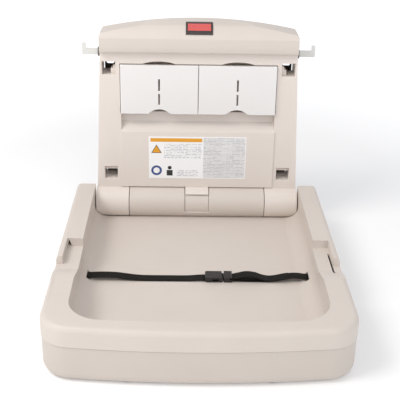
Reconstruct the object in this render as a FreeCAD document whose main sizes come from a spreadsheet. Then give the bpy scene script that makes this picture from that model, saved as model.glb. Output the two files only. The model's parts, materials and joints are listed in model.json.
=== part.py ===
"""A wall-mounted changing table whose bed folds down, as separate pieces with working joints.

Millimetres, +Z up, +X to the right of someone facing it, +Y into the wall. The origin lies on the
wall, at the centre of the four mounting slots. The bed is modelled folded down, on its stop.
"""

import FreeCAD, Part
import os
import re

Vector = FreeCAD.Vector
DOC = FreeCAD.newDocument("ChangingTable")
SHEET = DOC.addObject("Spreadsheet::Sheet", "Dims")

# ----------------------------------------------------------------------------------------------
# Driving dimensions
# ----------------------------------------------------------------------------------------------
DIMENSIONS = (
    # wall panel
    ("slot_spread", 406.4, "mounting slots apart, across (16 inch stud spacing)"),
    ("slot_rise", 254, "mounting slots apart, up"),
    ("panel_depth", 58, "wall to the front of the columns"),
    ("panel_foot_half", 238, "half width at the hinge"),
    ("panel_head_half", 222, "half width under the header"),
    ("panel_head_level", 163, "top of the full depth panel"),
    ("panel_foot_level", -266, "bottom of the panel"),
    ("spine_level", 197, "top of the thin spine behind the header"),
    ("spine_depth", 10, "thickness of the spine"),
    ("window_side", 30, "side of a square access window"),
    # liner dispensers
    ("bay_half", 178.5, "half width of the dispenser opening"),
    ("bay_floor", 20.5, "bottom of the dispenser opening"),
    ("bay_top", 137.5, "top of the dispenser opening"),
    ("bay_depth", 46, "depth of a dispenser"),
    ("door_half", 177, "outer edge of a door"),
    ("door_foot", 22, "bottom of a door"),
    ("door_head", 136, "top of a door"),
    ("door_front", 65, "wall to the front of a door"),
    ("door_skin", 3, "thickness of a door"),
    ("door_pin_out", 55, "wall to the door pins"),
    ("door_pin_level", 28, "height of the door pins"),
    ("door_pin_radius", 2, "door pin radius"),
    ("ramp_foot", -21, "bottom of the sloped recess under the doors"),
    # instruction panel
    ("boss_half", 180, "half width of the raised lower panel"),
    ("boss_foot", -162.5, "bottom of the raised lower panel"),
    ("boss_rise", 3, "how far the lower panel stands out"),
    ("label_half", 114, "half width of the label"),
    ("label_foot", -139, "bottom of the label"),
    ("label_head", -34, "top of the label"),
    # header
    ("header_half", 222, "half width of the header"),
    ("header_foot", 163.3, "underside of the header"),
    ("header_shoulder", 209, "height of the header's shoulders"),
    ("header_crown", 231, "height of the header's middle"),
    ("header_front", 74, "wall to the header's front"),
    ("header_back", 1, "wall to the header's rear edge"),
    ("header_wall", 3.5, "wall thickness of the header"),
    # bag hooks
    ("hook_reach", 265, "middle of the panel to a hook's end"),
    ("hook_foot", 149.5, "underside of a hook's bar"),
    ("hook_height", 15, "height of a hook's bar"),
    ("hook_out", 27, "wall to the front of a hook"),
    ("hook_thickness", 4, "thickness of a hook"),
    ("hook_tip_level", 176.5, "top of a hook's tip"),
    # hinge
    ("hinge_drop", 200, "mount centre down to the hinge axis"),
    ("barrel_radius", 36, "radius of knuckles and barrel"),
    ("trough_radius", 36.8, "radius of the hollows the barrel turns in"),
    ("barrel_half", 159.5, "half length of the bed's barrel"),
    ("knuckle_start", 161, "inner end of a panel knuckle"),
    ("rod_radius", 6, "hinge rod radius"),
    ("rod_half", 232, "half length of the hinge rod"),
    ("bush_radius", 9, "outer radius of a bush"),
    ("bush_length", 20, "length of a bush"),
    ("damper_radius", 22, "outer radius of a damper"),
    ("damper_core_radius", 12, "radius of a damper's core"),
    ("damper_start", 30, "inner end of a damper"),
    ("damper_end", 74, "outer end of a damper"),
    ("tongue_half", 27.5, "half width of the panel's centre tongue"),
    ("cover_half", 27.9, "half width of the barrel's centre cover"),
    ("cover_radius", 33.4, "outer radius of the centre cover"),
    # bed
    ("tray_half", 285, "half width of the bed"),
    ("tray_rear", 59, "wall to the bed's rear face"),
    ("tray_front", 698, "wall to the middle of the bed's front"),
    ("tray_bow", 20, "how far the front is bowed"),
    ("tray_corner", 58, "radius of the front corners"),
    ("rim_level", -156, "top of the rim"),
    ("parting_level", -196, "lower edge of the upper shell"),
    ("tray_foot", -270, "underside of the bed"),
    ("shell_wall", 4, "wall thickness of the shells"),
    ("basin_rear_half", 241, "half width of the basin at the hinge"),
    ("basin_front_half", 238, "half width of the basin at the front"),
    ("basin_front", 663, "wall to the basin's front"),
    ("basin_bow", 10, "how far the basin's front is bowed"),
    ("basin_corner", 68, "radius of the basin's front corners"),
    ("basin_fillet", 35, "radius between the basin's walls and floor"),
    ("bed_level", -231, "surface of the bed"),
    ("notch_near", 346, "wall to the near end of a rim notch"),
    ("notch_far", 508, "wall to the far end of a rim notch"),
    ("notch_ramp", 445, "wall to the start of the ramp up to a notch's far end"),
    ("notch_outer", 424, "wall to the near end of the drop in the rim's outer edge"),
    ("notch_depth", 18, "depth of a rim notch"),
    ("notch_split", 272, "middle to the outer lip beside a notch"),
    # strap
    ("strap_out", 380, "wall to the middle of the strap"),
    ("strap_width", 25, "width of the webbing"),
    ("strap_thickness", 1.6, "thickness of the webbing"),
    ("socket_start", 15, "left end of the buckle"),
    ("socket_end", 50, "mouth of the buckle's socket"),
    ("plug_start", 54.1, "inner end of the plug's grip"),
    ("plug_end", 71, "right end of the buckle"),
    ("buckle_half", 15, "half width of the buckle"),
    ("buckle_foot", -230.6, "underside of the buckle"),
    ("prong_pivot", 52, "where a prong flexes"),
)

for row, (alias, number, note) in enumerate(DIMENSIONS, 1):
    SHEET.set(f"A{row}", note)
    SHEET.set(f"B{row}", str(number))
    SHEET.setAlias(f"B{row}", alias)
DOC.recompute()


def size(alias):
    """The number that the sheet holds under an alias."""
    return float(SHEET.get(alias))


# ----------------------------------------------------------------------------------------------
# Builders
# ----------------------------------------------------------------------------------------------
TURNS = {
    "x": FreeCAD.Rotation(Vector(0, 1, 0), 90),
    "y": FreeCAD.Rotation(Vector(1, 0, 0), -90),
    "z": FreeCAD.Rotation(),
}
PLANES = {
    "front": (FreeCAD.Rotation(Vector(1, 0, 0), 90), "y"),
    "side": (FreeCAD.Rotation(Vector(1, 1, 1), 120), "x"),
    "top": (FreeCAD.Rotation(), "z"),
}


def formula(text):
    """An expression on the sheet's aliases, from plain text such as 'panel_depth / 2'."""
    return re.sub(r"\b([a-z]\w+)\b", r"Dims.\1", str(text))


def bind(piece, **formulas):
    """Bind an object's properties to the sheet."""
    for name, text in formulas.items():
        piece.setExpression(name, formula(text))
    return piece


def place(piece, x=0, y=0, z=0):
    """Bind an object's place to the sheet."""
    for axis, text in zip("xyz", (x, y, z)):
        piece.setExpression("Placement.Base." + axis, formula(text))
    return piece


def box(name, low, high):
    """A box between two corners, each given as three formulas."""
    piece = DOC.addObject("Part::Box", name)
    for side, start, end in zip(("Length", "Width", "Height"), low, high):
        piece.setExpression(side, formula(f"({end}) - ({start})"))
    return place(piece, *low)


def cylinder(name, radius, length, along="z", x=0, y=0, z=0, start=0, sweep=360):
    """A cylinder, or a sector of one, that runs from a point along an axis."""
    piece = DOC.addObject("Part::Cylinder", name)
    bind(piece, Radius=radius, Height=length)
    piece.Angle = sweep
    turned = TURNS[along].multiply(FreeCAD.Rotation(Vector(0, 0, 1), start))
    piece.Placement = FreeCAD.Placement(Vector(), turned)
    return place(piece, x, y, z)


def hinge_cylinder(name, radius, start, end, lead=0, sweep=360):
    """A cylinder about the hinge axis; a sector is counted from the top towards the front."""
    return cylinder(
        name, radius, f"({end}) - ({start})", "x",
        start, "-panel_depth", "-hinge_drop", start=lead + 180, sweep=sweep,
    )


def outline(name, plane, at, start, runs):
    """A closed sketch. Each run is its end point, or a point on the way and its end point."""
    turn, axis = PLANES[plane]
    sketch = DOC.addObject("Sketcher::SketchObject", name)
    sketch.Placement = FreeCAD.Placement(Vector(), turn)
    sketch.setExpression("Placement.Base." + axis, formula(at))
    here = Vector(start[0], start[1], 0)
    for run in runs:
        points = [Vector(x, y, 0) for x, y in run]
        if len(points) == 1:
            sketch.addGeometry(Part.LineSegment(here, points[0]))
        else:
            sketch.addGeometry(Part.Arc(here, points[0], points[1]))
        here = points[-1]
    return sketch


def drawn_out(name, sketch, length):
    """The solid that a sketch makes when it is drawn out along its normal."""
    piece = DOC.addObject("Part::Extrusion", name)
    piece.Base = sketch
    piece.DirMode = "Normal"
    piece.Solid = True
    return bind(piece, LengthFwd=length)


def fused(name, *pieces):
    """The union of several solids."""
    piece = DOC.addObject("Part::MultiFuse", name)
    piece.Shapes = list(pieces)
    return piece


def shared(name, *pieces):
    """The space that several solids share."""
    piece = DOC.addObject("Part::MultiCommon", name)
    piece.Shapes = list(pieces)
    return piece


def cut(name, base, *tools):
    """A solid less its tools."""
    piece = DOC.addObject("Part::Cut", name)
    piece.Base = base
    piece.Tool = tools[0] if len(tools) == 1 else fused(name + "Tools", *tools)
    return piece


def mirrored(name, source):
    """The other hand of a solid, across the middle of the table."""
    piece = DOC.addObject("Part::Mirroring", name)
    piece.Source = source
    piece.Base = Vector()
    piece.Normal = Vector(1, 0, 0)
    return piece


def both(name, source):
    """A solid and its other hand."""
    return [source, mirrored(name, source)]


def group(name, pieces):
    """Separate solids that share one node, such as a set of screws."""
    piece = DOC.addObject("Part::Compound", name)
    piece.Links = list(pieces)
    return piece


def rounded(name, base, radius, picks):
    """A solid with the edges that pass a test rounded."""
    DOC.recompute()
    piece = DOC.addObject("Part::Fillet", name)
    piece.Base = base
    edges = enumerate(base.Shape.Edges, 1)
    piece.Edges = [(number, radius, radius) for number, edge in edges if picks(edge)]
    return piece


def upright(edge):
    """Whether an edge runs straight up."""
    box_of = edge.BoundBox
    return box_of.XLength < 0.01 and box_of.YLength < 0.01


def at_level(edge, level):
    """Whether an edge lies flat at a level."""
    box_of = edge.BoundBox
    return abs(box_of.ZMin - level) < 0.01 and abs(box_of.ZMax - level) < 0.01


SUBPARTS = {}


def subpart(node, piece):
    """Name a finished solid as one of the table's pieces."""
    piece.Label = node
    SUBPARTS[node] = piece
    return piece


# ----------------------------------------------------------------------------------------------
# Wall panel
# ----------------------------------------------------------------------------------------------
def panel_block():
    """The panel's outer form: a tapered block, its spine, and the hinge knuckles."""
    foot = size("panel_foot_half")
    head = size("panel_head_half")
    base = size("panel_foot_level")
    top = size("panel_head_level")
    hip = -size("hinge_drop")
    corners = [(foot, hip), (head, top), (-head, top), (-foot, hip), (-foot, base)]
    face = outline(
        "PanelFace", "front", 0, (foot, base),
        [[corner] for corner in corners + [(foot, base)]],
    )
    slab = drawn_out("PanelSlab", face, "panel_depth")
    spine = box(
        "PanelSpine",
        ("-header_half + 5", "-spine_depth", "panel_head_level - 2"),
        ("header_half - 5", 0, "spine_level"),
    )
    boss = box(
        "PanelBoss",
        ("-boss_half", "-panel_depth - boss_rise", "boss_foot"),
        ("boss_half", "-panel_depth + 1", "ramp_foot"),
    )
    eased = rounded("PanelBossEased", boss, 2.4, lambda edge: edge.BoundBox.YMax < -60.9)
    knuckle = hinge_cylinder("Knuckle", "barrel_radius", "knuckle_start", "panel_foot_half")
    return fused("PanelForm", slab, spine, eased, *both("KnuckleLeft", knuckle))


def panel_windows():
    """Square pockets that reach through to the mounting slots."""
    windows = []
    for side in (-1, 1):
        for level in (-1, 1):
            x = f"{side} * slot_spread / 2"
            z = f"{level} * slot_rise / 2"
            windows.append(box(
                f"Window{side + 1}{level + 1}",
                (f"{x} - window_side / 2", "-panel_depth - 1", f"{z} - window_side / 2"),
                (f"{x} + window_side / 2", 0, f"{z} + window_side / 2"),
            ))
    return windows


def panel_ribs():
    """Ribs inside the windows: a bar across the lower ones, a stepped ledge in the upper ones."""
    bar = box(
        "WindowBar",
        ("slot_spread / 2 - window_side / 2 - 1", "-panel_depth + 8", "-slot_rise / 2 + 6"),
        ("slot_spread / 2 + window_side / 2 + 1", "-panel_depth + 16", "-slot_rise / 2 + 12"),
    )
    ledge = box(
        "WindowLedge",
        ("slot_spread / 2 - window_side / 2 - 1", "-panel_depth + 10", "slot_rise / 2 - 16"),
        ("slot_spread / 2 - 4", "-panel_depth + 30", "slot_rise / 2 - 2"),
    )
    step = box(
        "WindowStep",
        ("slot_spread / 2 - window_side / 2 - 1", "-panel_depth + 10", "slot_rise / 2 - 4"),
        ("slot_spread / 2 - 9", "-panel_depth + 20", "slot_rise / 2 + 5"),
    )
    ribs = []
    for piece in (bar, ledge, step):
        ribs += both(piece.Name + "Left", piece)
    return ribs


def panel_hollows():
    """The dispensers, their finger notches, the sloped recess, and the hollows behind."""
    bay = box(
        "Bay",
        ("-bay_half", "-panel_depth - 1", "bay_floor"),
        ("bay_half", "-panel_depth + bay_depth", "bay_top"),
    )
    ramp_foot = size("ramp_foot")
    front = -size("panel_depth") - size("boss_rise") - 1
    ledge = -size("panel_depth") + 18
    ramp = drawn_out("Ramp", outline(
        "RampFace", "side", "-door_half", (front, ramp_foot - 3),
        [[(ledge, ramp_foot + 18)], [(ledge, 24)], [(front, 24)], [(front, ramp_foot - 3)]],
    ), "2 * door_half")
    hollows = [bay, ramp]
    disc = cylinder(
        "FingerDisc", 120, 14, "y", "door_half / 2 + 1", "-panel_depth - 1", "bay_top + 6 - 120",
    )
    above = box("FingerBand", (10, "-panel_depth - 2", "bay_top - 1"), (170, -30, "bay_top + 10"))
    hollows += both("FingerNotchLeft", shared("FingerNotch", disc, above))
    hollows.append(box("RearHollow", (-168, "-panel_depth + 5", -152), (168, 0, -30)))
    hollows += both("ColumnHollowLeft", box(
        "ColumnHollow", (191, "-panel_depth + 5", -105), (216, 0, 105),
    ))
    hollows += both("HookPocketLeft", box(
        "HookPocket",
        (190, "-hook_out - 4", "hook_foot - 2"),
        (214, "-spine_depth", "panel_head_level + 1"),
    ))
    hollows += both("HookExitLeft", box(
        "HookExit",
        (213, "-hook_out - 1", "hook_foot - 2"),
        (230, "-hook_out + hook_thickness + 1", "panel_head_level + 1"),
    ))
    hollows.append(box("PlateBed", (-216.4, -3.2, -146.4), (216.4, 0, 146.4)))
    return hollows


def wall_panel():
    """The fixed moulding that hangs on the wall and carries the hinge."""
    web = box("BayWeb", (-4, "-panel_depth + 8", "bay_floor - 1"), (4, "-8", "bay_top + 1"))
    lug_nose = cylinder(
        "PinLug", 4.5, 12, "x", -6, "-door_pin_out", "door_pin_level",
    )
    lug_web = box(
        "PinLugWeb",
        (-6, "-door_pin_out", "door_pin_level - 3"),
        (6, "-8", "door_pin_level + 4"),
    )
    tongue = cut(
        "Tongue",
        hinge_cylinder("TongueOuter", 38.5, "-tongue_half", "tongue_half", -25, 66),
        hinge_cylinder("TongueInner", 36.4, "-tongue_half - 1", "tongue_half + 1"),
    )
    trough = hinge_cylinder("Trough", "trough_radius", "-knuckle_start", "knuckle_start")
    form = cut("PanelCut", panel_block(), trough, *panel_windows(), *panel_hollows())
    filled = fused("PanelFilled", form, web, lug_nose, lug_web, tongue, *panel_ribs())
    bores = [hinge_cylinder("RodBore", "rod_radius + 0.03", -240, 240)]
    bores += both("CapSeatLeft", hinge_cylinder("CapSeat", 12.05, 233, 240))
    bores.append(cylinder(
        "PinBore", "door_pin_radius + 0.03", 375, "x", -187.5, "-door_pin_out", "door_pin_level",
    ))
    bores += plate_screw_set("PanelScrewHole", 2.5, "-11", 11)
    bores += header_screw_set("SpineScrewHole", 2.7, "-spine_depth - 1", 12)
    bores += header_screw_set("SpineScrewSeat", 5.2, "-3", 4)
    return subpart("wall_panel", cut("WallPanel", filled, *bores))


# ----------------------------------------------------------------------------------------------
# Fasteners on the wall side
# ----------------------------------------------------------------------------------------------
def plate_screw_set(name, radius, start, length):
    """One cylinder for each back plate screw."""
    return [
        cylinder(f"{name}{number}", radius, length, "y", x, start, z)
        for number, (x, z) in enumerate([(x, z) for x in (-184.5, 184.5) for z in (-60, 0, 60)])
    ]


def header_screw_set(name, radius, start, length):
    """One cylinder for each header screw."""
    return [
        cylinder(f"{name}{number}", radius, length, "y", x, start, 184)
        for number, x in enumerate((-150, 0, 150))
    ]


def screws(name, heads, shanks):
    """A set of screws, each a head and a shank."""
    pairs = enumerate(zip(heads, shanks))
    return group(name, [fused(f"{name}{number}", *pair) for number, pair in pairs])


def back_plate():
    """Steel plate that takes the wall screws: a padded sketch with four slots across."""
    body = DOC.addObject("PartDesign::Body", "BackPlate")
    sketch = body.newObject("Sketcher::SketchObject", "BackPlateOutline")
    plane = [each for each in body.Origin.OriginFeatures if each.Role == "XZ_Plane"][0]
    sketch.AttachmentSupport = [(plane, "")]
    sketch.MapMode = "FlatFace"
    half, rise = 216, 146
    ring = [Vector(x, z, 0) for x, z in ((-half, -rise), (half, -rise), (half, rise), (-half, rise))]
    for here, there in zip(ring, ring[1:] + ring[:1]):
        sketch.addGeometry(Part.LineSegment(here, there))
    pad = body.newObject("PartDesign::Pad", "BackPlatePad")
    pad.Profile = sketch
    pad.Length = 3
    DOC.recompute()
    holes = []
    for side in (-1, 1):
        for level in (-1, 1):
            x = f"{side} * slot_spread / 2"
            z = f"{level} * slot_rise / 2"
            mark = f"{side + 1}{level + 1}"
            ends = [
                cylinder(f"SlotEnd{mark}{end + 1}", 4.25, 6, "y", f"{x} + {end} * 4.75", -4.5, z)
                for end in (-1, 1)
            ]
            middle = box(f"SlotMiddle{mark}", (f"{x} - 4.75", -4.5, f"{z} - 4.25"),
                         (f"{x} + 4.75", 1.5, f"{z} + 4.25"))
            holes.append(fused(f"Slot{mark}", *ends, middle))
    holes += plate_screw_set("PlateHole", 2.6, -4, 5)
    holes += plate_screw_set("PlateSeat", 4.7, "-1.8", 3)
    return subpart("back_plate", cut("BackPlateCut", body, *holes))


def wall_fasteners():
    """Screws that hold the back plate and the header."""
    subpart("back_plate_screws", screws(
        "BackPlateScrews",
        plate_screw_set("PlateHead", 4.5, "-1.75", 1.6),
        plate_screw_set("PlateShank", 2.4, "-10", 9),
    ))
    subpart("header_screws", screws(
        "HeaderScrews",
        header_screw_set("HeaderHead", 5, "-2.9", 2.6),
        header_screw_set("HeaderShank", 2.4, "-26", 25),
    ))


# ----------------------------------------------------------------------------------------------
# Header, badge, label and bag hooks
# ----------------------------------------------------------------------------------------------
def header_form(name, inset, proud=0):
    """The header's outer form, moved in by a wall thickness or out by a skin's."""
    half = size("header_half") - inset
    foot = size("header_foot") - 0.001 * inset
    shoulder = size("header_shoulder") - inset
    crown = size("header_crown") - inset
    front = -size("header_front") + inset - proud
    back = -size("header_back")
    rear = back + 4 * inset
    arch = drawn_out(name + "Arch", outline(
        name + "ArchFace", "front", rear, (-half, foot - 2 * inset),
        [
            [(-half, shoulder - 8)],
            [(-half + 2, shoulder - 2.4), (-half + 7, shoulder)],
            [(0, crown), (half - 7, shoulder)],
            [(half - 2, shoulder - 2.4), (half, shoulder - 8)],
            [(half, foot - 2 * inset)],
            [(-half, foot - 2 * inset)],
        ],
    ), 90)
    profile = drawn_out(name + "Profile", outline(
        name + "ProfileFace", "side", -half, (rear, foot + inset),
        [
            [(front + 11, foot + inset)],
            [(front + 4.5, foot + 2 + inset), (front + 2, foot + 8)],
            [(front, foot + 16)],
            [(front + 1, foot + 34)],
            [(front + 16, crown - 13 + proud), (front + 42, crown + proud)],
            [(rear, crown + 0.5 + proud)],
            [(rear, foot + inset)],
        ],
    ), 2 * half)
    return shared(name, arch, profile)


def header_cover():
    """The arched cap over the top of the panel, hollow behind."""
    wall = size("header_wall")
    shell = cut("HeaderShell", header_form("HeaderOuter", 0), header_form("HeaderInner", wall))
    bosses = [
        shared(f"HeaderBoss{number}", post, header_form(f"HeaderBossTrim{number}", 1))
        for number, post in enumerate(header_screw_set("HeaderPost", 7, -70, "70 - spine_depth - 0.3"))
    ]
    slot = box(
        "HookSlot",
        (190, "-hook_out - 1", "hook_foot - 3"),
        ("header_half + 3", "-hook_out + hook_thickness + 1", "hook_foot + hook_height + 1"),
    )
    holes = header_screw_set("HeaderScrewHole", 2.5, -30, 30)
    body = fused("HeaderBody", shell, *bosses)
    relief = box(
        "SpineRelief",
        ("-header_half + 4", "-spine_depth - 0.3", "header_foot - 8"),
        ("header_half - 4", 5, "header_foot + 9"),
    )
    tools = [relief] + holes + both("HookSlotLeft", slot)
    return subpart("header_cover", cut("HeaderCover", body, *tools))


def badge_and_label():
    """A small blank plate on the header and a plain sheet on the lower panel."""
    skin = cut("BadgeSkin", header_form("BadgeOuter", 0, 1.4), header_form("BadgeInner", 0))
    window = box("BadgeWindow", (-30, -90, "header_foot + 44.5"), (30, -20, "header_foot + 66.5"))
    subpart("badge_plate", shared("BadgePlate", skin, window))
    subpart("instruction_label", box(
        "InstructionLabel",
        ("-label_half", "-panel_depth - boss_rise - 0.4", "label_foot"),
        ("label_half", "-panel_depth - boss_rise", "label_head"),
    ))


def bag_hooks():
    """A flat steel hook with a turned-up tip on each side, through a collar in the header."""
    bar = box(
        "HookBar",
        (200, "-hook_out", "hook_foot"),
        ("hook_reach", "-hook_out + hook_thickness", "hook_foot + hook_height"),
    )
    tip = box(
        "HookTip",
        ("hook_reach - 9", "-hook_out", "hook_foot"),
        ("hook_reach", "-hook_out + hook_thickness", "hook_tip_level"),
    )
    foot = box(
        "HookFoot",
        (196, "-hook_out", "hook_foot + 1"),
        (212, "-spine_depth - 0.1", "hook_foot + hook_height - 3"),
    )
    blank = fused("HookBlank", bar, tip, foot)
    hook = rounded(
        "HookRight", blank, 3.5,
        lambda edge: edge.BoundBox.XMin > 261.9 and edge.BoundBox.YLength > 3.9,
    )
    subpart("bag_hook_right", hook)
    subpart("bag_hook_left", mirrored("HookLeft", hook))
    block = box(
        "CollarBlock",
        ("header_half + 0.9", "-hook_out - 3.5", "hook_foot - 2.4"),
        ("header_half + 7", "-hook_out + hook_thickness + 3.5", "hook_foot + hook_height + 2.4"),
    )
    eased = rounded("CollarEased", block, 1.5, lambda edge: edge.BoundBox.XMin > 228)
    opening = box(
        "CollarOpening",
        (200, "-hook_out - 0.3", "hook_foot - 0.3"),
        (240, "-hook_out + hook_thickness + 0.3", "hook_foot + hook_height + 0.3"),
    )
    collar = cut("CollarRight", eased, opening)
    subpart("hook_collar_right", collar)
    subpart("hook_collar_left", mirrored("CollarLeft", collar))


# ----------------------------------------------------------------------------------------------
# Liner doors
# ----------------------------------------------------------------------------------------------
def liner_doors():
    """Two tilting doors with ears on pins at the foot, two slits and a thumb notch each."""
    skin = box(
        "DoorSkin",
        (0.6, "-door_front", "door_foot"),
        ("door_half", "-door_front + door_skin", "door_head"),
    )
    lips = [
        box("DoorLipOuter", ("door_half - 3", "-door_front", "door_pin_level + 8"),
            ("door_half", "-panel_depth + 6", "door_head")),
        box("DoorLipInner", (0.6, "-door_front", "door_pin_level + 8"),
            (3.6, "-panel_depth + 6", "door_head")),
        box("DoorLipTop", (0.6, "-door_front", "door_head - 3"),
            ("door_half", "-panel_depth + 2", "door_head")),
    ]
    ears = [
        fused(
            f"DoorEar{start}",
            cylinder(f"DoorEarNose{start}", 4.2, 4, "x", start, "-door_pin_out", "door_pin_level"),
            box(f"DoorEarWeb{start}", (start, "-door_front + 1", "door_pin_level - 4.2"),
                (start + 4, "-door_pin_out", "door_pin_level + 4.2")),
        )
        for start in (8, 168)
    ]
    form = fused("DoorForm", skin, *lips, *ears)
    eased = rounded(
        "DoorEased", form, 2.2,
        lambda edge: edge.BoundBox.YMax < -64.9 and edge.BoundBox.ZMax > 22.5,
    )
    tools = [
        box("DoorSlitUpper", ("door_half / 2 - 1.2", -70, 77), ("door_half / 2 + 2.8", -55, 104)),
        box("DoorSlitLower", ("door_half / 2 - 1.2", -70, 44), ("door_half / 2 + 2.8", -55, 69.5)),
        cylinder("DoorThumb", 34, 20, "y", "door_half / 2 + 0.3", -72, "door_foot + 11 - 34"),
        cylinder("DoorEarBore", "door_pin_radius + 0.07", 180, "x", 0,
                 "-door_pin_out", "door_pin_level"),
    ]
    door = cut("DoorRight", eased, *tools)
    subpart("liner_door_right", door)
    subpart("liner_door_left", mirrored("DoorLeft", door))
    pins = [cylinder("DoorPinMiddle", "door_pin_radius", 24, "x", -12,
                     "-door_pin_out", "door_pin_level")]
    pins += both("DoorPinLeft", cylinder(
        "DoorPinRight", "door_pin_radius", 19.5, "x", 167.5, "-door_pin_out", "door_pin_level"))
    subpart("door_pins", group("DoorPins", pins))


# ----------------------------------------------------------------------------------------------
# Hinge
# ----------------------------------------------------------------------------------------------
def hinge():
    """The rod, its caps and bushes, the two dampers, and the barrel's centre cover."""
    subpart("hinge_rod", hinge_cylinder("HingeRod", "rod_radius", "-rod_half", "rod_half"))
    cap = hinge_cylinder("RodCap", 12, 233.1, 238)
    subpart("rod_end_caps", group("RodCaps", both("RodCapLeft", cap)))
    sleeve = hinge_cylinder("BushSleeve", "bush_radius", "barrel_half - bush_length", "barrel_half")
    flange = hinge_cylinder("BushFlange", 13, "barrel_half", "barrel_half + 1.2")
    bush = cut(
        "BushRight", fused("BushBlank", sleeve, flange),
        hinge_cylinder("BushBore", "rod_radius + 0.05", 100, 200),
    )
    subpart("hinge_bush_right", bush)
    subpart("hinge_bush_left", mirrored("BushLeft", bush))
    housing = cut(
        "DamperHousingRight",
        hinge_cylinder("DamperCase", "damper_radius", "damper_start", "damper_end"),
        hinge_cylinder("DamperCavity", "damper_core_radius + 0.08", "damper_start - 1",
                       "damper_end - 2"),
        hinge_cylinder("DamperMouth", "rod_radius + 1", "damper_start - 1", "damper_end + 1"),
    )
    subpart("damper_housing_right", housing)
    subpart("damper_housing_left", mirrored("DamperHousingLeft", housing))
    core = cut(
        "DamperCoreRight",
        hinge_cylinder("DamperCoreBlank", "damper_core_radius", "damper_start + 0.5",
                       "damper_end - 2.5"),
        hinge_cylinder("DamperCoreBore", "rod_radius + 0.02", "damper_start - 1", "damper_end"),
    )
    subpart("damper_core_right", core)
    subpart("damper_core_left", mirrored("DamperCoreLeft", core))
    subpart("hinge_centre_cover", cut(
        "CentreCover",
        hinge_cylinder("CoverOuter", "cover_radius", "-cover_half", "cover_half", -95, 207),
        hinge_cylinder("CoverInner", "cover_radius - 3.4", "-cover_half - 1", "cover_half + 1"),
    ))


# ----------------------------------------------------------------------------------------------
# Bed
# ----------------------------------------------------------------------------------------------
def tray_prism(name, inset, low, high, corner):
    """The bed's plan, moved in by an inset, between two levels, with its front corners rounded."""
    half = size("tray_half") - inset
    front = -size("tray_front") + inset
    sides = front + size("tray_bow")
    rear = -size("tray_rear") - inset
    plan = outline(
        name + "Plan", "top", low, (half, rear),
        [[(half, sides)], [(0, front), (-half, sides)], [(-half, rear)], [(half, rear)]],
    )
    blank = drawn_out(name + "Blank", plan, f"({high}) - ({low})")
    return rounded(
        name, blank, corner, lambda edge: upright(edge) and edge.BoundBox.YMax < -200,
    )


def basin_prism(name, outset, low, rear, corner, fillet):
    """The basin's plan, moved out by an outset, with rounded front corners and foot."""
    wide = size("basin_rear_half") + outset
    narrow = size("basin_front_half") + outset
    front = -size("basin_front") - outset
    sides = front + size("basin_bow")
    plan = outline(
        name + "Plan", "top", low, (wide, rear),
        [[(narrow, sides)], [(0, front), (-narrow, sides)], [(-wide, rear)], [(wide, rear)]],
    )
    blank = drawn_out(name + "Blank", plan, f"rim_level + 6 - ({low})")
    corners = rounded(
        name + "Corners", blank, corner,
        lambda edge: upright(edge) and edge.BoundBox.YMax < -200,
    )
    foot = size("bed_level") - outset
    return rounded(
        name, corners, fillet,
        lambda edge: at_level(edge, foot) and edge.BoundBox.YMin < rear - 1,
    )


SCREW_PLACES = [(side * 263, out) for side in (-1, 1) for out in (-150, -300, -590)]
SCREW_PLACES += [(-130, -678), (130, -678)]


def posts(name, radius, low, high):
    """One upright cylinder at each shell screw."""
    return [
        cylinder(f"{name}{number}", radius, f"({high}) - ({low})", "z", x, y, low)
        for number, (x, y) in enumerate(SCREW_PLACES)
    ]


def bed_shell():
    """The upper shell: rim, outer skirt and basin, with the hinge barrel at its rear."""
    wall = size("shell_wall")
    corner = size("tray_corner")
    skirt = tray_prism("Skirt", 0, "parting_level", "rim_level", corner)
    rim = rounded(
        "Rim", skirt, 11,
        lambda edge: at_level(edge, size("rim_level")) and edge.BoundBox.YMin < -60,
    )
    hollow = tray_prism("RimHollow", wall, "parting_level - 5", "rim_level - shell_wall",
                        corner - wall)
    ring = cut("RimRing", rim, hollow)
    basin_corner = size("basin_corner")
    fillet = size("basin_fillet")
    block = basin_prism("BasinBlock", wall, "bed_level - shell_wall", -size("tray_rear"),
                        basin_corner + wall, fillet + wall)
    level_cut = box("RimPlane", (-300, -720, "rim_level"), (300, -40, "rim_level + 20"))
    barrel = hinge_cylinder("Barrel", "barrel_radius", "-barrel_half", "barrel_half")
    liner = hinge_cylinder("KnuckleLiner", 41.3, "barrel_half", "basin_rear_half + 2", 138, 42)
    fillers = both("NotchBedLeft", box(
        "NotchBed",
        ("basin_front_half", "-notch_far - 4", "rim_level - notch_depth - 4"),
        ("tray_half - 2", "-notch_near + 12", "rim_level - 3"),
    ))
    form = fused("BedForm", ring, block, *both("KnuckleLinerLeft", liner), *fillers,
                 *posts("BedPost", 7, -249.5, -158))
    basin = basin_prism("Basin", 0, "bed_level", -30, basin_corner, fillet)
    opened = cut("BedOpened", form, basin, level_cut)
    body = fused("BedBody", opened, barrel)
    return subpart("bed_shell", cut("BedShell", body, *bed_cuts()))


def notch_tool(name, near_side, far_side, near_end):
    """A cut in the rim: a flat floor from its near end, then a ramp up to the rim."""
    above = size("rim_level") + 5
    floor = size("rim_level") - size("notch_depth")
    ramp = -size("notch_ramp")
    far_end = -size("notch_far")
    rise = (size("rim_level") - floor) / (ramp - far_end)
    face = outline(
        name + "Face", "side", near_side, (near_end, above),
        [
            [(near_end, floor)],
            [(ramp, floor)],
            [(far_end - 5 / rise, above)],
            [(near_end, above)],
        ],
    )
    return drawn_out(name, face, far_side - near_side)


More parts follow.
